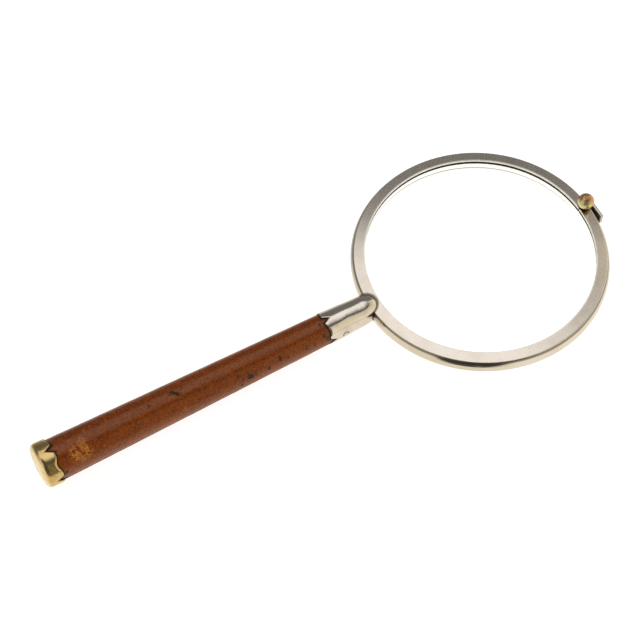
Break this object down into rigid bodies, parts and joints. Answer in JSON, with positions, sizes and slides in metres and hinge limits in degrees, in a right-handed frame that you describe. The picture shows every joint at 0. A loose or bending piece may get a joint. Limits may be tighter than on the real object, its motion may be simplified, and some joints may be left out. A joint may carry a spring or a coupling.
{
  "type": "hand lens",
  "caption": "Large round hand lens in a split metal ring with a ball-headed clamp screw, on a tapered leather-covered handle with scalloped metal ends.",
  "frame": {"origin": "centre of the flat butt of the end cap", "axes": "+X along the handle towards the lens, +Z along the lens axis towards the ball knob of the clamp"},
  "size_m": [0.2451, 0.1019, 0.019],
  "materials": {
    "aged_brass": "worn satin",
    "cognac_leather": "worn, waxed",
    "beech": "plain turned",
    "iron_tang": "forged, dull",
    "nickel_silver_polished": "polished, lightly tarnished",
    "nickel_silver_brushed": "brushed face, polished flank",
    "lens_glass": "polished",
    "black_card": "matt",
    "red_brass": "polished, heat tinted"
  },
  "bodies": {
    "frame": {"end_cap": "aged_brass", "leather_sleeve": "cognac_leather", "core": "beech", "tang": "iron_tang", "ferrule": "nickel_silver_polished", "tang_pin": "nickel_silver_polished", "ring": "nickel_silver_brushed", "lens": "lens_glass", "lens_liner": "black_card", "clamp_bracket": "nickel_silver_polished", "bracket_pegs": "nickel_silver_polished"},
    "washer": {"captive_washer": "aged_brass"},
    "clamp_screw": {"ball_knob": "red_brass", "clamp_stud": "aged_brass"}
  },
  "joints": [
    {"name": "screw_lift", "type": "slide", "parent": "frame", "child": "washer", "axis": [0, 0, 1], "range_m": [0, 0.002]},
    {"name": "screw_turn", "type": "hinge", "parent": "washer", "child": "clamp_screw", "pos_m": [0.23988, -0.00359, 0.003], "axis": [0, 0, 1], "range_deg": [0, 1441]}
  ],
  "couplings": [
    {"joint": "screw_turn", "follows": "screw_lift", "rad_per_m": 12566}
  ]
}
